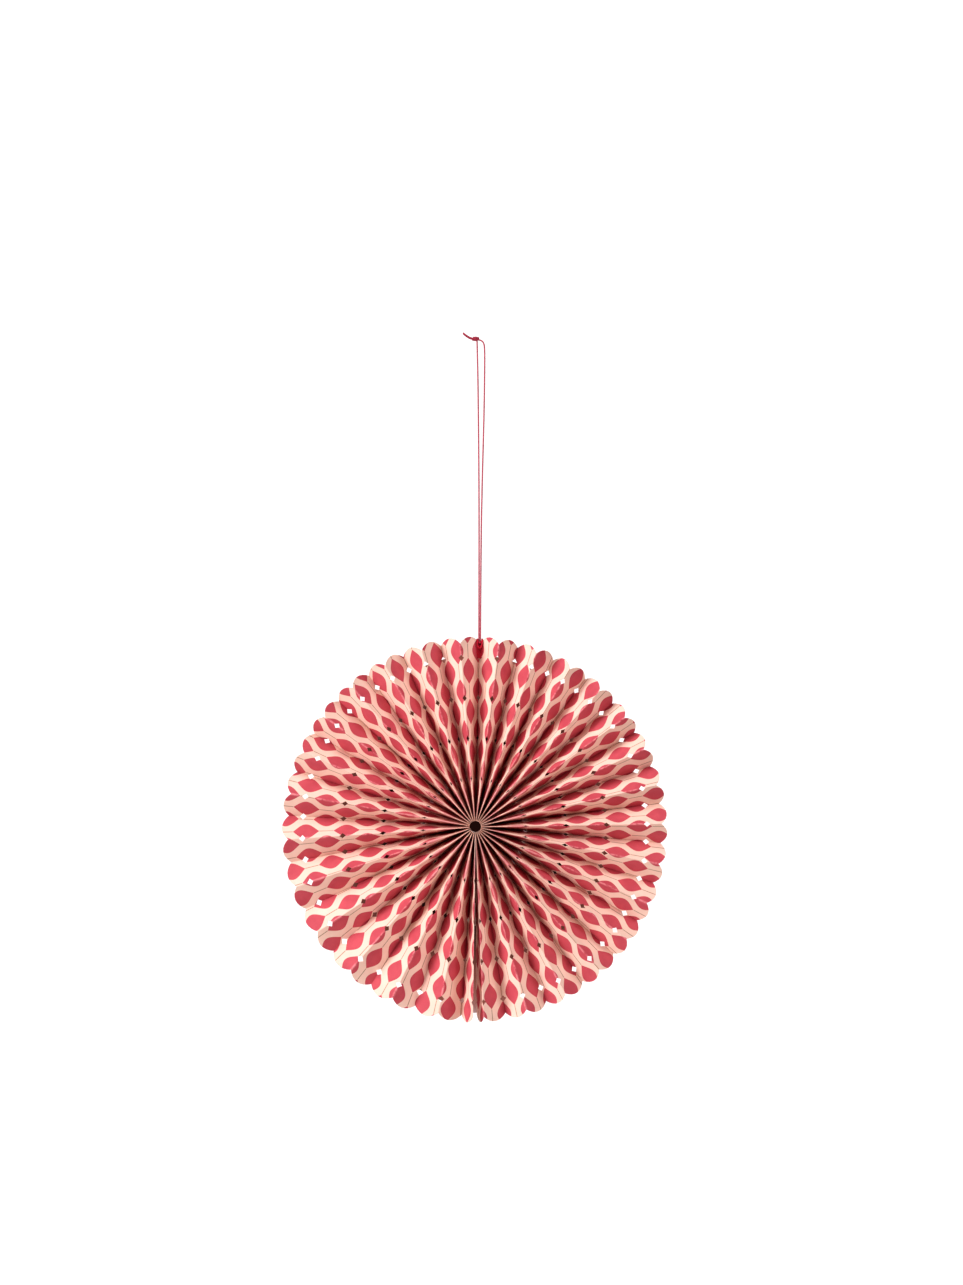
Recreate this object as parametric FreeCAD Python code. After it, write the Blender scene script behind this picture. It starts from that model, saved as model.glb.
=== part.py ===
import FreeCAD, Part
import math
import os

os.makedirs("parts", exist_ok=True)

# Pleated paper rosette that hangs on a looped cord, in millimetres.
# X right, Y towards the back, Z up. The origin is the top of the hanging loop, where a hook carries it.
# Angles go clockwise from the top, as seen from the front.

# ---- driving dimensions ----
LEAVES = 57                     # flat leaves of the folded strip, so 58 creases and free edges: 0 to 57
HANGING_FOLD = 27               # the valley fold at the top, which holds the cord
LEAF_WIDTH = 15.0               # from one fold to the next, across the leaf
PAPER = 0.20                    # thickness
LEAF_GAP = 0.06                 # between the two halves of a leaf, where neighbouring fold pieces meet
HUB = FreeCAD.Vector(-2.6, 0, -251.5)
HUB_HOLE_R = 3.05               # inner ends of the leaves
RIM_R = 100.0                   # crest of the rim, about a centre a little below the hub
RIM_DROP = 1.6
RIM_DROP_ANGLE = 193.0
SCALLOP = 3.4                   # how far the rim's notches lie inside its crests
HOLE_RADII = (26.5, 47.4, 68.3, 89.2)
HOLE_ALONG = 3.4                # the diamond holes, along the fold
HOLE_ACROSS = 4.8               # and across it, with the fold opened flat
MEAN_PITCH = 6.438              # degrees from fold to fold
CENTRE_ANGLE = 357.0
CROWDING = ((1, -4.53, 5.16), (2, -0.48, -1.00), (3, 0.69, 0.21))    # sine and cosine parts, degrees
FIRST_LEAF_ANGLE = 3.4          # the two end leaves stand steeper than the rest
LAST_LEAF_ANGLE = 2.1
END_INSET = 1.3                 # their inner ends stop short of each other at the seam
THREAD_RING_R = 4.5             # binding thread through the leaves, near the hub
THREAD_R = 0.20
THREAD_HOLE_R = 0.34
CORD_R = 0.375
KNOT = FreeCAD.Vector(-2.5, 0, 0.5)
KNOT_LENGTH = 3.7
KNOT_R = 1.3
TAB_RADII = (40.0, 52.0)        # closing tab, behind the seam
TAB_THICKNESS = 0.15
TAB_CLEAR = 0.12

# Section stations along a leaf, as shares of the way from the hub hole to the rim
STATIONS = (0.0, 0.35, 0.6, 0.8, 1.0)


def fold_angle(i):
    """Angle of fold i. The folds stand closer together at the upper right than at the lower left."""
    if i == 0:
        return fold_angle(1) - FIRST_LEAF_ANGLE
    if i == LEAVES:
        return fold_angle(LEAVES - 1) + LAST_LEAF_ANGLE
    turn = 2 * math.pi * (i - HANGING_FOLD) / LEAVES
    waves = sum(s * math.sin(n * turn) + c * math.cos(n * turn) for n, s, c in CROWDING)
    return CENTRE_ANGLE + MEAN_PITCH * (i - HANGING_FOLD) + waves


def pitch(leaf):
    """Angle from fold to fold across a leaf, in radians. Leaf i lies between folds i and i + 1."""
    return math.radians(fold_angle(leaf + 1) - fold_angle(leaf))


def leaf_depth(leaf, r):
    """Front-to-back depth of a leaf at radius r: the width is fixed, so it's flatter where it spreads."""
    spread = 2 * r * math.sin(pitch(leaf) / 2)
    return math.sqrt(LEAF_WIDTH ** 2 - spread ** 2)


def side(i):
    """+1 for a valley fold, at the back, and -1 for a ridge fold, at the front."""
    return 1 if i % 2 else -1


def fold_depth(i, r):
    """Distance of fold i from the mid-plane at radius r."""
    if i == 0:
        return leaf_depth(0, r) - fold_depth(1, r)
    if i == LEAVES:
        return leaf_depth(LEAVES - 1, r) - fold_depth(LEAVES - 1, r)
    return (leaf_depth(i - 1, r) + leaf_depth(i, r)) / 4


def drop(angle):
    """How much further from the hub the paper reaches at this angle."""
    return RIM_DROP * math.cos(math.radians(angle - RIM_DROP_ANGLE))


def crest_radius(angle):
    return RIM_R + drop(angle)


def place(shape, angle):
    """From the fold's own frame, with Z along the fold, to its place round the hub."""
    turned = shape.copy()
    turned.rotate(FreeCAD.Vector(0, 0, 0), FreeCAD.Vector(0, 1, 0), angle)
    turned.translate(HUB)
    return turned


def half_end(i, leaf, r):
    """Where fold i's piece ends on this leaf: its mid-line, or the free edge of an end leaf."""
    way = 1 if leaf == i else -1
    if leaf in (0, LEAVES - 1) and i in (1, LEAVES - 1):
        edge = 0 if leaf == 0 else LEAVES
        return way * r * math.tan(pitch(leaf)), side(edge) * fold_depth(edge, r)
    return way * r * math.tan(pitch(leaf) / 2), 0.0


def section(i, r):
    """Outline of the folded paper at radius r: two slabs that meet at the fold."""
    y = side(i) * fold_depth(i, r)
    faces = []
    for leaf in (i - 1, i):
        ex, ey = half_end(i, leaf, r)
        length = math.hypot(ex, ey - y)
        dx, dy = ex / length, (ey - y) / length
        nx = -dy * side(i) if leaf == i else dy * side(i)
        ny = dx * side(i) if leaf == i else -dx * side(i)
        if nx * ex < 0:
            nx, ny = -nx, -ny
        ex, ey = ex - dx * LEAF_GAP / 2, ey - dy * LEAF_GAP / 2
        faces.append((nx, ny, ex, ey))
    (ax, ay, aex, aey), (bx, by, bex, bey) = faces
    t = PAPER / 2
    # the inner corner is where the two inner faces meet
    det = ax * by - ay * bx
    inner = ((-t * by + t * ay) / det, y + (-ax * t + bx * t) / det)
    points = [
        (aex - ax * t, aey - ay * t),
        (aex + ax * t, aey + ay * t),
        (ax * t, y + ay * t),
        (bx * t, y + by * t),
        (bex + bx * t, bey + by * t),
        (bex - bx * t, bey - by * t),
        inner,
    ]
    corners = [FreeCAD.Vector(px, py, r) for px, py in points]
    return Part.makePolygon(corners + corners[:1])


def notch(r, y, way):
    """Cutter for a diamond hole at a fold: a prism across the fold, as wide as the diamond there."""
    across = HOLE_ACROSS / 2 * abs(y) * 2 / LEAF_WIDTH
    half = HOLE_ALONG / 2
    outline = [(r - half, y), (r, y - way * across), (r + half, y), (r + half, y + way), (r - half, y + way)]
    corners = [FreeCAD.Vector(-9, py, pr) for pr, py in outline]
    face = Part.Face(Part.makePolygon(corners + corners[:1]))
    return face.extrude(FreeCAD.Vector(18, 0, 0))


def rim_cutter(crest, depth):
    """Everything beyond the rounded end of a leaf, whose crest is on the leaf's mid-line."""
    radius = (depth ** 2 + SCALLOP ** 2) / (2 * SCALLOP)
    block = Part.makeBox(20, 24, SCALLOP + 8, FreeCAD.Vector(-10, -12, crest - SCALLOP - 2))
    rounded = Part.makeCylinder(radius, 20, FreeCAD.Vector(-10, 0, crest - radius), FreeCAD.Vector(1, 0, 0))
    return block.cut(rounded)


def fold_piece(i):
    """Half a leaf on each side of fold i, with its diamond holes and rounded ends."""
    angle = fold_angle(i)
    crest = crest_radius(angle)
    outer = crest + 0.8
    inner = HUB_HOLE_R + (END_INSET if i in (1, LEAVES - 1) else 0)
    radii = [inner + s * (outer - inner) for s in STATIONS]
    paper = Part.makeLoft([section(i, r) for r in radii], True, True)
    tools = [rim_cutter(crest, fold_depth(i, crest - SCALLOP))]
    ways = (1, -1) if i in (1, LEAVES - 1) else (side(i),)
    for row in HOLE_RADII:
        r = row + drop(angle)
        tools += [notch(r, way * fold_depth(i, r), way) for way in ways]
    tools.append(Part.makeTorus(THREAD_RING_R, THREAD_HOLE_R, FreeCAD.Vector(0, 0, 0), FreeCAD.Vector(0, 1, 0)))
    return place(paper.cut(tools), angle)


def fold_name(i):
    kind = "valley_fold" if i % 2 else "ridge_fold"
    return f"{kind}_{(i + 1) // 2:02d}"


def tube(points, radius):
    """Round cord along straight runs joined by tangent arcs, each as large as its runs allow."""
    points = [FreeCAD.Vector(*p) for p in points]
    edges = []
    radii = []
    start = points[0]
    for before, corner, after in zip(points, points[1:], points[2:]):
        back = before - corner
        on = after - corner
        cut = 0.45 * min(back.Length, on.Length)
        back.normalize()
        on.normalize()
        turn = math.pi - back.getAngle(on)
        enter = corner + back * cut
        leave = corner + on * cut
        middle = back + on
        middle.normalize()
        bend = cut / math.tan(turn / 2)
        reach = bend / math.cos(turn / 2) - bend
        edges.append(Part.LineSegment(start, enter).toShape())
        edges.append(Part.Arc(enter, corner + middle * reach, leave).toShape())
        radii.append(bend)
        start = leave
    edges.append(Part.LineSegment(start, points[-1]).toShape())
    spine = Part.Wire(edges)
    ring = Part.Wire(Part.makeCircle(radius, points[0], points[1] - points[0]))
    solid = spine.makePipeShell([ring], True, False)
    share = solid.Volume / (math.pi * radius ** 2 * spine.Length)
    print(f"cord {spine.Length:.1f} mm, tightest arc {min(radii):.2f} mm, volume share {share:.3f}")
    return solid


# ---- where the cord meets the top valley ----
TOP_ANGLE = fold_angle(HANGING_FOLD)
NOTCH_R = crest_radius(TOP_ANGLE) - SCALLOP
HOLE_R = HOLE_RADII[-1] + drop(TOP_ANGLE)


def in_valley(q, y, r):
    """A point given in the hanging fold's own frame."""
    turn = math.radians(TOP_ANGLE)
    x = HUB.x + q * math.cos(turn) + r * math.sin(turn)
    z = HUB.z - q * math.sin(turn) + r * math.cos(turn)
    return (x, y, z)


def cord_hitch():
    """The doubled cord goes down the valley, back through the hole, up and over the rim notch, and its
    bight crosses in front of the two strands."""
    fold = fold_depth(HANGING_FOLD, HOLE_R)
    near = CORD_R + 0.025
    front = fold - 1.55
    right = [
        (near, front, NOTCH_R - 0.8),
        (near, front - 0.15, HOLE_R + 1.3),
        (near, fold - 0.75, HOLE_R - 0.10),
        (near + 0.10, fold + 0.45, HOLE_R - 0.45),
        (near + 0.50, fold + 1.35, HOLE_R + 0.9),
        (near + 0.80, fold + 1.50, HOLE_R + 3.4),
        (near + 0.80, fold + 1.20, NOTCH_R - 0.2),
        (near + 0.85, fold + 0.20, NOTCH_R + 2.3),
        (near + 0.90, fold - 1.60, NOTCH_R + 3.1),
        (near + 0.90, fold - 3.20, NOTCH_R + 1.6),
        (near + 0.80, fold - 3.20, NOTCH_R - 1.0),
    ]
    bight = [(0.0, fold - 3.10, NOTCH_R - 2.4)]
    left = [(-q, y, r) for q, y, r in reversed(right)]
    return tube([in_valley(*p) for p in right + bight + left], CORD_R)


def hanging_cord():
    """Two strands from the hitch to the knot, which ties the cord's ends together, and the short tail."""
    x, y, z = in_valley(0, fold_depth(HANGING_FOLD, HOLE_R) - 1.55, NOTCH_R - 0.5)
    gap = CORD_R + 0.025

    def strand(route):
        return tube([(px, y * max(0, -level) / -z, level) for px, level in route], CORD_R)

    left = strand([(x - gap, z), (-0.20 - gap, -108.0), (-0.7, -72.0), (-1.0, -36.0), (-1.35, -12.0), (-1.7, 0.2)])
    right = strand([(x + gap, z), (-0.10 + gap, -108.0), (1.0, -72.0), (2.0, -36.0), (2.3, -12.0), (2.25, -4.0),
                    (1.9, -1.2), (0.6, 0.4), (-1.4, 0.7)])
    tail = strand([(-2.6, 0.6), (-4.6, 1.1), (-6.8, 2.0), (-8.7, 3.4)])
    half = FreeCAD.Vector(KNOT_LENGTH / 2 - KNOT_R, 0, 0)
    ends = [Part.makeSphere(KNOT_R, KNOT + half), Part.makeSphere(KNOT_R, KNOT - half)]
    knot = Part.makeCylinder(KNOT_R, 2 * half.x, KNOT - half, half).fuse(ends)
    return knot.fuse([left, right, tail])


def hub_thread():
    """Binding thread that runs through every leaf and holds the inner ends in a ring."""
    ring = Part.makeTorus(THREAD_RING_R, THREAD_R, FreeCAD.Vector(0, 0, 0), FreeCAD.Vector(0, 1, 0))
    ring.translate(HUB)
    return ring


def closure_tab():
    """Paper tab behind the seam, from the last leaf's free edge to the first valley fold."""
    corners = []
    for r in TAB_RADII:
        for angle, over in ((fold_angle(LEAVES) - 360, -0.6), (fold_angle(1), 0.9)):
            turn = math.radians(angle) + over / r
            corners.append(FreeCAD.Vector(r * math.sin(turn), 0, r * math.cos(turn)))
    a, b, c, d = corners
    face = Part.Face(Part.makePolygon([a, b, d, c, a]))
    tab = face.extrude(FreeCAD.Vector(0, TAB_THICKNESS, 0))
    behind = max(fold_depth(i, TAB_RADII[0]) for i in (1, LEAVES)) + PAPER / 2 + TAB_CLEAR
    tab.translate(HUB + FreeCAD.Vector(0, behind, 0))
    return tab


nodes = {fold_name(i): fold_piece(i) for i in range(1, LEAVES)}
nodes["hanging_cord"] = hanging_cord()
nodes["cord_hitch"] = cord_hitch()
nodes["hub_thread"] = hub_thread()
nodes["closure_tab"] = closure_tab()

for name, shape in nodes.items():
    shape.exportStep(f"parts/{name}.step")
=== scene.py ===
import math

import bpy
import numpy as np
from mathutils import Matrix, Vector


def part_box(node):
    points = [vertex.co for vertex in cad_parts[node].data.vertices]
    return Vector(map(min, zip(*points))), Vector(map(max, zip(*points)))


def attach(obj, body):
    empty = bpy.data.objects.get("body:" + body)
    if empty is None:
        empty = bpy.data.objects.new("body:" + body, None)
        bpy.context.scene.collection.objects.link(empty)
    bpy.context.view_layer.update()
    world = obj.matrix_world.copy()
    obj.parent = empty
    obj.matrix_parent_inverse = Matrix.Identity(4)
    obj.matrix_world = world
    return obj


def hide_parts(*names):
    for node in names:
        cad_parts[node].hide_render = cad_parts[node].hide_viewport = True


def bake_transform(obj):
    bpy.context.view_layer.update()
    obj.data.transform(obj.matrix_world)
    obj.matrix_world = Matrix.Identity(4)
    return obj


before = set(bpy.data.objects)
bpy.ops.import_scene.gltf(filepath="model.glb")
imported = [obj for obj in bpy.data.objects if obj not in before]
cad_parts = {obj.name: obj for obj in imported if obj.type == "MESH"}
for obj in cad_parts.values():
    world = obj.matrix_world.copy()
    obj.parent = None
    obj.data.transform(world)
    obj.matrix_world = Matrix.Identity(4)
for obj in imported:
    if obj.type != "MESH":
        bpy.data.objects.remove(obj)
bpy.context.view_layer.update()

# A pleated paper rosette on a looped cord. Metres, X right, Y towards the back, Z up.
# Angles go clockwise from the top as seen from the front; radii are from the hub.

MM = 0.001

# ---- the folded strip, as the frame has it ----
LEAVES = 57
HANGING_FOLD = 27
LEAF_WIDTH = 15.0 * MM
PAPER = 0.22 * MM
HUB_HOLE_R = 3.05 * MM
RIM_R = 100.0 * MM
RIM_DROP = 1.6 * MM
RIM_DROP_ANGLE = 193.0
SCALLOP = 3.4 * MM
HOLE_RADII = [26.5 * MM, 47.4 * MM, 68.3 * MM, 89.2 * MM]
HOLE_ALONG = 3.4 * MM
HOLE_ACROSS = 4.8 * MM
MEAN_PITCH = 6.438
CENTRE_ANGLE = 357.0
CROWDING = ((1, -4.53, 5.16), (2, -0.48, -1.00), (3, 0.69, 0.21))
FIRST_LEAF_ANGLE = 3.4
LAST_LEAF_ANGLE = 2.1
END_INSET = 1.3 * MM

# ---- the print ----
PRINT_START = 26.93             # a column of lenses, in leaves along the strip
COLUMN_STEP = 0.5625            # leaves between columns
WAVE = 21.1                     # mm from lens to lens along a column
WAVE_AT = 91.5                  # mm, a lens centre's radius at fold 27
WAVE_SKEW = 0.254               # mm per leaf
LENS_HALF = 3.375               # mm, amplitude of a lens's half-width
LENS_BIAS = 0.454

# ---- the cord ----
CORD_D = 0.75 * MM
CORD_GAP = 0.40                 # mm, from the middle of the doubled cord to each strand

ROOT = "hanging_cord"
TOP_BODY = "valley_fold_14"

thread_lo, thread_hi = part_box("hub_thread")
HUB = (Vector(thread_lo) + Vector(thread_hi)) / 2


def fold_body(i):
    kind = "valley_fold" if i % 2 else "ridge_fold"
    return f"{kind}_{(i + 1) // 2:02d}"


def fold_angle(i):
    if i == 0:
        return fold_angle(1) - FIRST_LEAF_ANGLE
    if i == LEAVES:
        return fold_angle(LEAVES - 1) + LAST_LEAF_ANGLE
    turn = 2 * math.pi * (i - HANGING_FOLD) / LEAVES
    waves = sum(s * math.sin(n * turn) + c * math.cos(n * turn) for n, s, c in CROWDING)
    return CENTRE_ANGLE + MEAN_PITCH * (i - HANGING_FOLD) + waves


ANGLES = [fold_angle(i) for i in range(LEAVES + 1)]


def leaf_depth(leaf, r):
    spread = 2 * r * math.sin(math.radians(ANGLES[leaf + 1] - ANGLES[leaf]) / 2)
    return np.sqrt(LEAF_WIDTH ** 2 - spread ** 2)


def side(i):
    return 1 if i % 2 else -1


def fold_depth(i, r):
    if i == 0:
        return leaf_depth(0, r) - fold_depth(1, r)
    if i == LEAVES:
        return leaf_depth(LEAVES - 1, r) - fold_depth(LEAVES - 1, r)
    return (leaf_depth(i - 1, r) + leaf_depth(i, r)) / 4


def drop(angle):
    return RIM_DROP * np.cos(np.radians(angle - RIM_DROP_ANGLE))


def fold_points(i, r):
    """Points of fold i at the radii r, as an array of rows."""
    a = math.radians(ANGLES[i])
    y = side(i) * fold_depth(i, r)
    return np.stack([HUB.x + r * math.sin(a), HUB.y + y, HUB.z + r * math.cos(a)], -1)


# ---- one leaf as a thin closed mesh ----
ACROSS = (0.0, 0.035, 0.12, 0.25, 0.375, 0.5, 0.625, 0.75, 0.88, 0.965, 1.0)
ROWS_BETWEEN = 5
ROWS_AT_RIM = 6


def row_radii(start, shift):
    """Radii of the mesh rows up to just past the last hole, and how far each row's ends are cut back
    by a diamond hole, as a share of the leaf's width."""
    half = HOLE_ALONG / 2
    radii, cuts = [start], [0.0]
    for hole in HOLE_RADII:
        hole += shift
        first = radii[-1]
        for n in range(1, ROWS_BETWEEN):
            radii.append(first + (hole - half - first) * n / ROWS_BETWEEN)
            cuts.append(0.0)
        for step in (-1.0, -0.5, 0.0, 0.5, 1.0):
            radii.append(hole + step * half)
            cuts.append((1 - abs(step)) * HOLE_ACROSS / 2 / LEAF_WIDTH)
    radii.append(radii[-1] + 0.8 * MM)
    cuts.append(0.0)
    return radii, cuts


def leaf_grid(k):
    """The mesh grid of leaf k, as each point's share across the leaf and its radius."""
    start = HUB_HOLE_R + (END_INSET if k in (0, LEAVES - 1) else 0)
    middle = (ANGLES[k] + ANGLES[k + 1]) / 2
    radii, cuts = row_radii(start, drop(middle))
    across = np.array(ACROSS)
    rows_s = [c + (1 - 2 * c) * across for c in cuts]
    rows_r = [np.full(len(across), r) for r in radii]
    angle = ANGLES[k] + (ANGLES[k + 1] - ANGLES[k]) * across
    rim = RIM_R + drop(angle) - SCALLOP * (2 * across - 1) ** 2
    for n in range(1, ROWS_AT_RIM + 1):
        rows_s.append(across)
        rows_r.append(radii[-1] + (rim - radii[-1]) * n / ROWS_AT_RIM)
    s, r = np.array(rows_s), np.array(rows_r)
    return s, r


def surface(k, s, r):
    a, b = fold_points(k, r), fold_points(k + 1, r)
    return a + (b - a) * s[..., None]


def leaf_normal(k, s, r):
    """Unit normal of leaf k on the strip's printed side."""
    step = 0.05 * MM
    along = surface(k, s, r + step) - surface(k, s, r - step)
    over = fold_points(k + 1, r) - fold_points(k, r)
    n = np.cross(over, along)
    return n / np.linalg.norm(n, axis=-1, keepdims=True)


def edge_normal(i, r):
    """At a fold the two leaves share one direction, so that their sheets meet."""
    total = np.zeros(r.shape + (3,))
    for k in (i - 1, i):
        if 0 <= k < LEAVES:
            total += leaf_normal(k, np.full(r.shape, float(i - k)), r)
    return total / np.linalg.norm(total, axis=-1, keepdims=True)


def build_leaf(k):
    s, r = leaf_grid(k)
    mid = surface(k, s, r)
    normal = leaf_normal(k, s, r)
    normal[:, 0] = np.where((s[:, 0] == 0)[:, None], edge_normal(k, r[:, 0]), normal[:, 0])
    normal[:, -1] = np.where((s[:, -1] == 1)[:, None], edge_normal(k + 1, r[:, -1]), normal[:, -1])
    rows, cols = s.shape
    count = rows * cols
    points = np.concatenate([(mid + normal * PAPER / 2).reshape(-1, 3), (mid - normal * PAPER / 2).reshape(-1, 3)])
    faces = []
    for i in range(rows - 1):
        for j in range(cols - 1):
            a = i * cols + j
            quad = (a, a + 1, a + cols + 1, a + cols)
            faces.append(quad)
            faces.append(tuple(count + v for v in reversed(quad)))
    border = [j for j in range(cols)]
    border += [i * cols + cols - 1 for i in range(1, rows)]
    border += [(rows - 1) * cols + j for j in range(cols - 2, -1, -1)]
    border += [i * cols for i in range(rows - 2, 0, -1)]
    for a, b in zip(border, border[1:] + border[:1]):
        faces.append((a, count + a, count + b, b))
    mesh = bpy.data.meshes.new(f"leaf_{k + 1:02d}")
    mesh.from_pydata(points.tolist(), [], faces)
    mesh.update()
    mesh.polygons.foreach_set("use_smooth", [True] * len(mesh.polygons))
    mesh.set_sharp_from_angle(angle=math.radians(45))
    # strip coordinates: leaves along the strip, and millimetres from the hub
    u = np.tile((k + s).reshape(-1), 2)
    v = np.tile((r / MM).reshape(-1), 2)
    corner = np.zeros(len(mesh.loops), int)
    mesh.loops.foreach_get("vertex_index", corner)
    layer = mesh.uv_layers.new(name="Strip")
    layer.data.foreach_set("uv", np.stack([u[corner], v[corner]], 1).astype(np.float32).ravel())
    leaf = bpy.data.objects.new(f"leaf_{k + 1:02d}", mesh)
    bpy.context.scene.collection.objects.link(leaf)
    return leaf, np.tile(s.reshape(-1), 2)


# ---- node helper for the materials ----
class Nodes:
    """Small arithmetic on shader sockets."""

    def __init__(self, name):
        self.material = bpy.data.materials.new(name)
        self.material.use_nodes = True
        self.tree = self.material.node_tree
        self.shader = self.tree.nodes["Principled BSDF"]

    def new(self, kind, **values):
        node = self.tree.nodes.new(kind)
        for key, value in values.items():
            setattr(node, key, value)
        return node

    def math(self, operation, *inputs, clamp=False):
        node = self.new("ShaderNodeMath", operation=operation, use_clamp=clamp)
        for n, value in enumerate(inputs):
            self.feed(node.inputs[n], value)
        return node.outputs[0]

    def feed(self, socket, value):
        if isinstance(value, bpy.types.NodeSocket):
            self.tree.links.new(value, socket)
        else:
            socket.default_value = value

    def soft_step(self, value, low, high):
        """0 below low, 1 above high, and smooth between."""
        node = self.new("ShaderNodeMapRange", interpolation_type="SMOOTHSTEP")
        self.feed(node.inputs["Value"], value)
        node.inputs["From Min"].default_value = low
        node.inputs["From Max"].default_value = high
        return node.outputs["Result"]

    def mix(self, share, a, b, blend="MIX"):
        node = self.new("ShaderNodeMix", data_type="RGBA", blend_type=blend)
        self.feed(node.inputs[0], share)
        self.feed(node.inputs[6], a)
        self.feed(node.inputs[7], b)
        return node.outputs[2]

    def noise(self, vector, scale, detail=2.0, roughness=0.5):
        node = self.new("ShaderNodeTexNoise")
        self.feed(node.inputs["Vector"], vector)
        node.inputs["Scale"].default_value = scale
        node.inputs["Detail"].default_value = detail
        node.inputs["Roughness"].default_value = roughness
        return node.outputs["Fac"]

    def bump(self, height, distance, strength=1.0):
        node = self.new("ShaderNodeBump")
        node.inputs["Strength"].default_value = strength
        node.inputs["Distance"].default_value = distance
        self.feed(node.inputs["Height"], height)
        self.feed(self.shader.inputs["Normal"], node.outputs["Normal"])


CREAM = (0.93, 0.63, 0.53, 1)
PALE_CREAM = (0.95, 0.67, 0.57, 1)
CORAL = (0.56, 0.085, 0.115, 1)
PALE_CORAL = (0.62, 0.10, 0.13, 1)
# ridge colours: rubbed ink with a painted sheen on it; near the hub it is mostly painted sheen
RUBBED_AND_SHEEN_CORAL = (0.90, 0.33, 0.36, 1)
PAINTED_SHEEN_AT_HUB = (0.92, 0.54, 0.52, 1)
HAIRLINE = (0.36, 0.19, 0.11, 1)
PAINTED_PLEAT_SHADE = (0.60, 0.26, 0.26, 1)   # painted shade: what is left of the colour at the bottom of a deep pleat
PLEAT_DEPTH = 0.012                     # m, how far off the paper that casts the painted shade may be
PLEAT_OPEN = 0.24                       # the open share from which paper is fully lit
NEAR_HUB = (8.0, 48.0)                  # mm from the hub, where the ridges are lightened most, mostly by painted sheen


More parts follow.
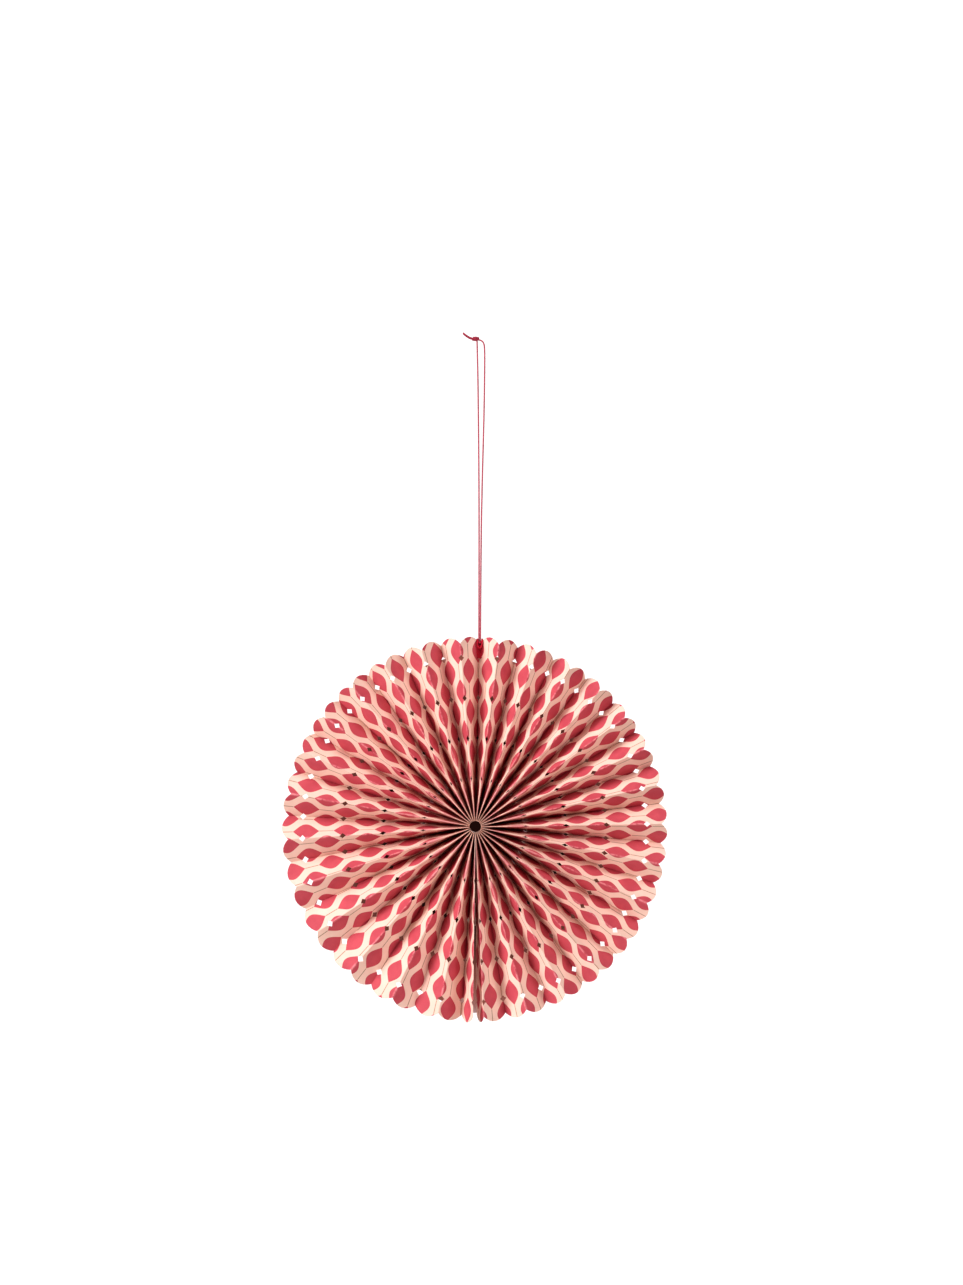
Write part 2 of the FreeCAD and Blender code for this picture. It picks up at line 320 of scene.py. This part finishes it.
def paper_material():
    m = Nodes("printed_paper")
    strip = m.new("ShaderNodeUVMap", uv_map="Strip")
    split = m.new("ShaderNodeSeparateXYZ")
    m.tree.links.new(strip.outputs["UV"], split.inputs[0])
    u, v = split.outputs[0], split.outputs[1]

    column = m.math("DIVIDE", m.math("SUBTRACT", u, PRINT_START), COLUMN_STEP)
    lower = m.math("FLOOR", column)

    def lens(index):
        """How far inside column index's lens a point is, in mm, and how near the column's centre line."""
        u_c = m.math("MULTIPLY_ADD", index, COLUMN_STEP, PRINT_START)
        off = m.math("MULTIPLY", m.math("ABSOLUTE", m.math("SUBTRACT", u, u_c)), LEAF_WIDTH / MM)
        odd = m.math("FLOORED_MODULO", index, 2.0)
        centre = m.math("MULTIPLY_ADD", m.math("SUBTRACT", u_c, 27.0), WAVE_SKEW, WAVE_AT)
        centre = m.math("MULTIPLY_ADD", odd, WAVE / 2, centre)
        turn = m.math("MULTIPLY", m.math("SUBTRACT", v, centre), 2 * math.pi / WAVE)
        half = m.math("MULTIPLY_ADD", m.math("COSINE", turn), LENS_HALF, LENS_HALF * LENS_BIAS)
        return m.math("SUBTRACT", half, off), off, half

    in_a, off_a, half_a = lens(lower)
    in_b, off_b, half_b = lens(m.math("ADD", lower, 1.0))
    coral = m.soft_step(m.math("MAXIMUM", in_a, in_b), -0.06, 0.06)

    def line(off, half):
        near = m.math("SUBTRACT", 1.0, m.soft_step(off, 0.10, 0.30))
        between = m.soft_step(m.math("MULTIPLY", half, -1.0), 0.0, 0.2)
        return m.math("MULTIPLY", near, between)

    hair = m.math("MULTIPLY", m.math("MAXIMUM", line(off_a, half_a), line(off_b, half_b)), 0.95)

    # fibres and uneven ink
    grain_at = m.new("ShaderNodeCombineXYZ")
    m.feed(grain_at.inputs[0], m.math("MULTIPLY", u, LEAF_WIDTH / MM))
    m.feed(grain_at.inputs[1], v)
    grain = m.noise(grain_at.outputs[0], 2.6, 4.0, 0.6)
    cloud = m.noise(grain_at.outputs[0], 0.12, 2.0, 0.5)
    ink = m.mix(m.soft_step(cloud, 0.35, 0.7), CORAL, PALE_CORAL)

    # the ink rubs off along the ridges, and a painted sheen lightens the ridge crests too, widest and palest near the
    # hub
    ridge = m.math("PINGPONG", u, 1.0)
    ridge_mm = m.math("MULTIPLY", ridge, LEAF_WIDTH / MM)
    near_hub = m.math("SUBTRACT", 1.0, m.soft_step(v, *NEAR_HUB))
    reach = m.math("MULTIPLY_ADD", near_hub, 5.0, 1.1)
    rub_and_sheen = m.math("SUBTRACT", 1.0, m.soft_step(m.math("DIVIDE", ridge_mm, reach), 0.14, 1.0))
    patches = m.noise(grain_at.outputs[0], 0.35, 3.0, 0.6)
    patches = m.math("MULTIPLY_ADD", near_hub, 0.2, patches)
    rub_and_sheen = m.math("MULTIPLY", rub_and_sheen, m.soft_step(patches, 0.35, 0.62))
    rub_and_sheen_colour = m.mix(near_hub, RUBBED_AND_SHEEN_CORAL, PAINTED_SHEEN_AT_HUB)
    ink = m.mix(m.math("MULTIPLY", rub_and_sheen, 0.8), ink, rub_and_sheen_colour)
    ground = m.mix(m.soft_step(cloud, 0.3, 0.75), CREAM, PALE_CREAM)
    coral = m.math("MULTIPLY", coral, m.soft_step(v, 2.0, 12.0))

    colour = m.mix(coral, ground, ink)
    colour = m.mix(hair, colour, HAIRLINE)
    speck = m.math("MULTIPLY_ADD", grain, 0.14, 0.93)
    tone = m.new("ShaderNodeCombineXYZ")
    for n in range(3):
        m.feed(tone.inputs[n], speck)
    colour = m.mix(1.0, colour, tone.outputs[0], "MULTIPLY")

    # painted shade: the bottom of a deep pleat is painted dark from its ambient occlusion, but not the ring of paper
    # edges round the hub
    shut_in = m.new("ShaderNodeAmbientOcclusion", samples=6)
    shut_in.inputs["Distance"].default_value = PLEAT_DEPTH
    at_hub = m.math("SUBTRACT", 1.0, m.soft_step(v, 4.5, 11.0))
    lit = m.math("MAXIMUM", m.soft_step(shut_in.outputs["AO"], 0.0, PLEAT_OPEN), at_hub)
    # painted shade: the colour multiplied down where the pleat is shut in
    deep = m.mix(1.0, colour, PAINTED_PLEAT_SHADE, "MULTIPLY")
    colour = m.mix(lit, deep, colour)
    m.feed(m.shader.inputs["Base Color"], colour)
    m.feed(m.shader.inputs["Roughness"], m.math("MULTIPLY_ADD", grain, 0.18, 0.62))
    m.shader.inputs["Specular IOR Level"].default_value = 0.25
    m.bump(grain, 0.00004, 0.5)
    return m.material


def fibre_material(name, dark, light, scale, roughness):
    """Twisted fibre: fine streaks of two tones."""
    m = Nodes(name)
    where = m.new("ShaderNodeTexCoord").outputs["Object"]
    streak = m.noise(where, scale, 3.0, 0.65)
    fuzz = m.noise(where, scale * 6, 2.0, 0.7)
    m.feed(m.shader.inputs["Base Color"], m.mix(m.soft_step(streak, 0.35, 0.65), dark, light))
    m.feed(m.shader.inputs["Roughness"], m.math("MULTIPLY_ADD", fuzz, 0.15, roughness))
    m.shader.inputs["Sheen Weight"].default_value = 0.08
    m.shader.inputs["Specular IOR Level"].default_value = 0.2
    m.bump(fuzz, 0.00003, 0.6)
    return m.material


def plain_paper_material(name, tone):
    m = Nodes(name)
    where = m.new("ShaderNodeTexCoord").outputs["Object"]
    grain = m.noise(where, 2600, 4.0, 0.6)
    darker = tuple(c * 0.93 for c in tone[:3]) + (1,)
    m.feed(m.shader.inputs["Base Color"], m.mix(m.soft_step(grain, 0.3, 0.7), darker, tone))
    m.feed(m.shader.inputs["Roughness"], m.math("MULTIPLY_ADD", grain, 0.15, 0.65))
    m.bump(grain, 0.00003, 0.4)
    return m.material


PAPER_PRINT = paper_material()
# the cord looks paler where its strands hang free, and deeper where it is pulled tight
CORD_LOOSE = fibre_material("red_cord", (0.40, 0.060, 0.095, 1), (0.60, 0.15, 0.19, 1), 2400, 0.75)
CORD_KNOTTED = fibre_material("red_cord_knotted", (0.30, 0.020, 0.050, 1), (0.46, 0.055, 0.095, 1), 2400, 0.75)
CORD_TIGHT = fibre_material("red_cord_pulled_tight", (0.44, 0.006, 0.026, 1), (0.66, 0.020, 0.055, 1), 2400, 0.75)
THREAD = fibre_material("binding_thread", (0.62, 0.50, 0.38, 1), (0.80, 0.70, 0.57, 1), 3000, 0.75)
TAB = plain_paper_material("tab_paper", (0.90, 0.86, 0.78, 1))

# ---- the leaves: each is built between the two folds it joins, and the end leaves ride on their fold ----
for k in range(LEAVES):
    leaf, share = build_leaf(k)
    leaf.data.materials.append(PAPER_PRINT)
    if k == 0:
        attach(leaf, fold_body(1))
    elif k == LEAVES - 1:
        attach(leaf, fold_body(k))
    else:
        at = surface(k, np.array([0.0, 1.0]), np.array([RIM_R / 2, RIM_R / 2]))
        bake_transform(leaf)
    if k > 0:
        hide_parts(fold_body(k))


# ---- the cord ----
def in_valley(q, y, r):
    """A point given in the hanging fold's own frame, in mm: across the fold, depth and radius."""
    turn = math.radians(ANGLES[HANGING_FOLD])
    x = HUB.x / MM + q * math.cos(turn) + r * math.sin(turn)
    z = HUB.z / MM - q * math.sin(turn) + r * math.cos(turn)
    return (x, y, z)


HOLE_R = HOLE_RADII[-1] / MM + float(drop(ANGLES[HANGING_FOLD])) / MM
NOTCH_R = (RIM_R + float(drop(ANGLES[HANGING_FOLD])) - SCALLOP) / MM
FOLD = float(fold_depth(HANGING_FOLD, HOLE_R * MM)) / MM
FRONT = FOLD - 1.55
low_x, low_y, low_z = in_valley(0, FRONT, NOTCH_R - 0.5)


def strand_route(points):
    """The strands lean back from the loop's top to the valley fold."""
    return [(x, low_y * max(0.0, -z) / -low_z, z) for x, z in points]


LEFT_ROUTE = strand_route([(low_x - CORD_GAP, low_z), (-0.20 - CORD_GAP, -108.0), (-0.7, -72.0), (-1.0, -36.0),
                           (-1.35, -12.0), (-1.7, 0.2)])
RIGHT_ROUTE = strand_route([(low_x + CORD_GAP, low_z), (-0.10 + CORD_GAP, -108.0), (1.0, -72.0), (2.0, -36.0),
                            (2.3, -12.0), (2.25, -4.0), (1.9, -1.2), (0.6, 0.4), (-1.4, 0.7)])
TAIL_ROUTE = strand_route([(-2.6, 1.1), (-4.7, 1.4), (-7.0, 2.6), (-9.0, 4.2)])
SECOND_TAIL_ROUTE = [(x + 0.25, 0.35 * (i > 0), z - 0.55 * (i > 0)) for i, (x, _, z) in enumerate(TAIL_ROUTE)]
HITCH_RIGHT = [
    (CORD_GAP, FRONT, NOTCH_R - 0.8),
    (CORD_GAP, FRONT - 0.15, HOLE_R + 1.3),
    (CORD_GAP, FOLD - 0.75, HOLE_R - 0.10),
    (CORD_GAP + 0.10, FOLD + 0.45, HOLE_R - 0.45),
    (CORD_GAP + 0.50, FOLD + 1.35, HOLE_R + 0.9),
    (CORD_GAP + 0.80, FOLD + 1.50, HOLE_R + 3.4),
    (CORD_GAP + 0.80, FOLD + 1.20, NOTCH_R - 0.2),
    (CORD_GAP + 0.85, FOLD + 0.20, NOTCH_R + 1.75),
    (CORD_GAP + 0.90, FOLD - 1.60, NOTCH_R + 2.1),
    (CORD_GAP + 0.90, FOLD - 3.10, NOTCH_R + 1.0),
    (CORD_GAP + 0.75, FOLD - 3.20, NOTCH_R - 1.4),
]
HITCH_ROUTE = [in_valley(*p) for p in HITCH_RIGHT]
HITCH_ROUTE += [in_valley(0.0, FOLD - 3.10, NOTCH_R - 3.2)]
HITCH_ROUTE += [in_valley(-q, y, r) for q, y, r in reversed(HITCH_RIGHT)]
# a second turn of the cord through the hole and over the edge
WRAP_RIGHT = [
    (1.25, FOLD - 2.05, NOTCH_R - 0.6),
    (1.30, FOLD - 2.10, NOTCH_R - 3.0),
    (1.25, FOLD - 1.75, HOLE_R + 1.2),
    (0.95, FOLD - 0.70, HOLE_R - 0.2),
    (0.95, FOLD + 0.60, HOLE_R + 0.1),
    (1.40, FOLD + 0.75, HOLE_R + 2.2),
    (1.45, FOLD + 0.60, NOTCH_R - 0.4),
    (1.35, FOLD - 0.40, NOTCH_R + 1.3),
    (1.20, FOLD - 1.70, NOTCH_R + 1.0),
]
WRAP_ROUTE = [in_valley(*p) for p in WRAP_RIGHT]
WRAP_ROUTE += [in_valley(0.0, FOLD - 2.75, NOTCH_R - 0.2)]
WRAP_ROUTE += [in_valley(-q, y, r) for q, y, r in reversed(WRAP_RIGHT)]


def spline_points(name, route):
    """Close points along the smooth curve that the route's points control."""
    curve = bpy.data.curves.new(name, "CURVE")
    curve.dimensions = "3D"
    spline = curve.splines.new("NURBS")
    spline.points.add(len(route) - 1)
    for point, at in zip(spline.points, route):
        point.co = (at[0] * MM, at[1] * MM, at[2] * MM, 1)
    spline.order_u = 3
    spline.use_endpoint_u = True
    curve.resolution_u = 24
    holder = bpy.data.objects.new(name, curve)
    bpy.context.scene.collection.objects.link(holder)
    mesh = bpy.data.meshes.new_from_object(holder)
    points = np.array([v.co for v in mesh.vertices], float)
    bpy.data.objects.remove(holder)
    bpy.data.curves.remove(curve)
    bpy.data.meshes.remove(mesh)
    return points


def resample(points, step):
    gaps = np.linalg.norm(np.diff(points, axis=0), axis=1)
    keep = np.concatenate([[True], gaps > 1e-9])
    points = points[keep]
    at = np.concatenate([[0], np.cumsum(np.linalg.norm(np.diff(points, axis=0), axis=1))])
    wanted = np.linspace(0, at[-1], max(4, int(at[-1] / step)))
    return np.stack([np.interp(wanted, at, points[:, n]) for n in range(3)], 1)


def twisted_cord(name, points, diameter, material, lay=2.4 * MM, step=0.30 * MM, sides=12):
    """A cord of three plies: the section has three lobes and turns once in each lay length."""
    path = resample(points, step)
    tangent = np.gradient(path, axis=0)
    tangent /= np.linalg.norm(tangent, axis=1, keepdims=True)
    normal = np.cross(tangent[0], (0.0, 1.0, 0.0))
    if np.linalg.norm(normal) < 0.1:
        normal = np.cross(tangent[0], (1.0, 0.0, 0.0))
    rings = []
    for n, t in enumerate(tangent):
        normal = normal - t * (normal @ t)
        normal /= np.linalg.norm(normal)
        other = np.cross(t, normal)
        spin = 2 * math.pi * n * step / lay
        for m in range(sides):
            a = 2 * math.pi * m / sides
            radius = diameter / 2 * (1.06 + 0.07 * math.cos(3 * (a - spin)))
            rings.append(path[n] + radius * (math.cos(a) * normal + math.sin(a) * other))
    faces = []
    for n in range(len(path) - 1):
        for m in range(sides):
            a, b = n * sides + m, n * sides + (m + 1) % sides
            faces.append((a, b, b + sides, a + sides))
    faces.append(tuple(reversed(range(sides))))
    last = (len(path) - 1) * sides
    faces.append(tuple(range(last, last + sides)))
    mesh = bpy.data.meshes.new(name)
    mesh.from_pydata([tuple(p) for p in rings], [], faces)
    mesh.update()
    mesh.polygons.foreach_set("use_smooth", [True] * len(mesh.polygons))
    mesh.materials.append(material)
    cord = bpy.data.objects.new(name, mesh)
    bpy.context.scene.collection.objects.link(cord)
    return cord, path


for name, route in (("cord_left_strand", LEFT_ROUTE), ("cord_right_strand", RIGHT_ROUTE)):
    strand, path = twisted_cord(name, spline_points(name, route), CORD_D, CORD_LOOSE)
    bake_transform(strand)
    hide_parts("hanging_cord")

for name, route in (("cord_tail", TAIL_ROUTE), ("cord_second_tail", SECOND_TAIL_ROUTE)):
    tail, _ = twisted_cord(name, spline_points(name, route), CORD_D, CORD_KNOTTED)
    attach(tail, ROOT)
    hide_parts("hanging_cord")

for name, route in (("cord_hitch_loops", HITCH_ROUTE), ("cord_hitch_wrap", WRAP_ROUTE)):
    hitch, _ = twisted_cord(name, spline_points(name, route), CORD_D * 1.1, CORD_TIGHT, step=0.15 * MM)
    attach(hitch, TOP_BODY)
    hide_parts("cord_hitch")

# the knot: the two ends of the cord, wound round themselves and pulled tight
KNOT_X, KNOT_Z = -2.5, 1.1
KNOT_HALF = 1.55
KNOT_END_R = 0.38
KNOT_SWELL = 0.50
KNOT_TURNS = 4
TURN_POINTS = 12
knot_route = [(KNOT_X - KNOT_HALF, 0.0, KNOT_Z), (KNOT_X, 0.1, KNOT_Z - 0.1), (KNOT_X + KNOT_HALF, 0.0, KNOT_Z)]
for n in range(KNOT_TURNS * TURN_POINTS + 1):
    a = 2 * math.pi * n / TURN_POINTS
    t = 1 - 2 * n / (KNOT_TURNS * TURN_POINTS)
    swell = KNOT_END_R + KNOT_SWELL * math.sqrt(1 - t * t)
    knot_route.append((KNOT_X + KNOT_HALF * t + 0.12 * math.sin(a), swell * math.cos(a), KNOT_Z + swell * math.sin(a)))
knot, _ = twisted_cord("cord_knot", spline_points("cord_knot", knot_route), CORD_D, CORD_KNOTTED, step=0.12 * MM)
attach(knot, ROOT)
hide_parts("hanging_cord")

# ---- the two CAD nodes that stay as they are ----
for node, material in (("hub_thread", THREAD), ("closure_tab", TAB)):
    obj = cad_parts[node]
    obj.data.materials.clear()
    obj.data.materials.append(material)

# ---- camera: straight on, at the photograph's scale ----
VIEW_HEIGHT = 665.7 * MM
VIEW_CENTRE = Vector((0.62 * MM, 0, -156.2 * MM))
DISTANCE = 2.4
camera_data = bpy.data.cameras.new("camera")
camera_data.sensor_width = 36
camera_data.lens = camera_data.sensor_width * DISTANCE / VIEW_HEIGHT
camera = bpy.data.objects.new("camera", camera_data)
camera.location = VIEW_CENTRE + Vector((0, -DISTANCE, 0))
camera.rotation_euler = (math.pi / 2, 0, 0)
bpy.context.scene.collection.objects.link(camera)
bpy.context.scene.camera = camera


# ---- floor, light and surroundings ----
def stage_plane(name, verts, colour):
    mesh = bpy.data.meshes.new(name)
    mesh.from_pydata(verts, [], [tuple(range(len(verts)))])
    m = Nodes(name)
    m.shader.inputs["Base Color"].default_value = colour
    m.shader.inputs["Roughness"].default_value = 0.9
    mesh.materials.append(m.material)
    plane = bpy.data.objects.new(name, mesh)
    bpy.context.scene.collection.objects.link(plane)
    return plane, m


FLOOR_Z = -0.62
stage_plane("floor", [(-0.9, -0.9, FLOOR_Z), (0.9, -0.9, FLOOR_Z), (0.9, 0.9, FLOOR_Z), (-0.9, 0.9, FLOOR_Z)],
            (0.86, 0.85, 0.83, 1))

# A card right behind the rosette, glowing with the painted shade that shows through its holes: dark where the paper
# covers it, less so near the rim, where light comes in, and clear elsewhere. It is seen only from its front, and it
# neither lights nor shades the rosette.
CARD_Y = 8.8 * MM
CARD_R = 91.3 * MM
CARD_SIDES_IN = 5.8 * MM
CARD_TONGUE = 4.5 * MM
CARD_SHADOW_REACH = 0.024       # m, how near the paper has to be to cover it
CARD_PAINTED_SHADE = (0.018, 0.006, 0.005, 1)
CARD_PAINTED_SHADE_AT_RIM = (0.26, 0.09, 0.07, 1)
CARD_CORNERS = 96
card_x = HUB.x + float(drop(90.0))
card_z = HUB.z + float(drop(0.0))


def card_r(a):
    """The card reaches further down, behind the seam, and is narrower at the sides, where it would show."""
    beside = min(1.0, 1.6 * abs(math.cos(a)))
    return CARD_R + CARD_TONGUE * max(0.0, -math.sin(a)) ** 60 - CARD_SIDES_IN * beside


ring = [2 * math.pi * n / CARD_CORNERS for n in range(CARD_CORNERS)]
outline = [(card_x + card_r(a) * math.cos(a), CARD_Y, card_z + card_r(a) * math.sin(a)) for a in ring]
card_object, card = stage_plane("card", outline, (0, 0, 0, 1))
card_object.visible_diffuse = False
card_object.visible_glossy = False
card_object.visible_transmission = False
card_object.visible_shadow = False
covered = card.new("ShaderNodeAmbientOcclusion")
covered.inputs["Distance"].default_value = CARD_SHADOW_REACH
open_share = card.soft_step(covered.outputs["AO"], 0.30, 0.72)
from_hub = card.new("ShaderNodeVectorMath", operation="DISTANCE")
card.tree.links.new(card.new("ShaderNodeTexCoord").outputs["Object"], from_hub.inputs[0])
from_hub.inputs[1].default_value = (HUB.x, CARD_Y, HUB.z)
# painted shade: near black behind the middle, browner towards the rim, given off as its own glow
shade = card.mix(card.soft_step(from_hub.outputs["Value"], 48 * MM, 92 * MM), CARD_PAINTED_SHADE, CARD_PAINTED_SHADE_AT_RIM)
shade_emission = card.new("ShaderNodeEmission")
card.feed(shade_emission.inputs["Color"], shade)
clear = card.new("ShaderNodeBsdfTransparent")
geometry = card.new("ShaderNodeNewGeometry")
seen_through = card.new("ShaderNodeMixShader")
card.feed(seen_through.inputs[0], card.math("MAXIMUM", open_share, geometry.outputs["Backfacing"]))
card.tree.links.new(shade_emission.outputs[0], seen_through.inputs[1])
card.tree.links.new(clear.outputs[0], seen_through.inputs[2])
card.tree.links.new(seen_through.outputs[0], card.tree.nodes["Material Output"].inputs["Surface"])


def area_light(name, place, size, power):
    """A white square light, metres and watts, aimed at the hub."""
    data = bpy.data.lights.new(name, "AREA")
    data.size = size
    data.energy = power
    light = bpy.data.objects.new(name, data)
    light.location = place
    light.rotation_mode = "QUATERNION"
    light.rotation_quaternion = (Vector((HUB.x, 0, HUB.z)) - Vector(place)).to_track_quat("-Z", "Y")
    bpy.context.scene.collection.objects.link(light)


area_light("key", (-1.52, -1.03, 0.24), size=0.6, power=26)
area_light("top", (-0.41, -1.06, 1.27), size=0.8, power=12.5)
area_light("right", (1.40, -1.01, 0.55), size=0.6, power=12)
area_light("back", (0.4, 1.8, 0.6), size=1.2, power=18)

# ---- surroundings: white to the camera, dim as light ----
DIM = (0.07, 0.052, 0.045, 1)
world = bpy.data.worlds.new("world")
bpy.context.scene.world = world
world.use_nodes = True
tree = world.node_tree
background = tree.nodes["Background"]
ray = tree.nodes.new("ShaderNodeLightPath")
mix = tree.nodes.new("ShaderNodeMix")
mix.data_type = "RGBA"
tree.links.new(ray.outputs["Is Camera Ray"], mix.inputs[0])
mix.inputs[6].default_value = DIM
mix.inputs[7].default_value = (1, 1, 1, 1)
tree.links.new(mix.outputs[2], background.inputs["Color"])

bpy.context.scene.view_settings.view_transform = "Standard"
bpy.context.scene.view_settings.look = "Medium High Contrast"
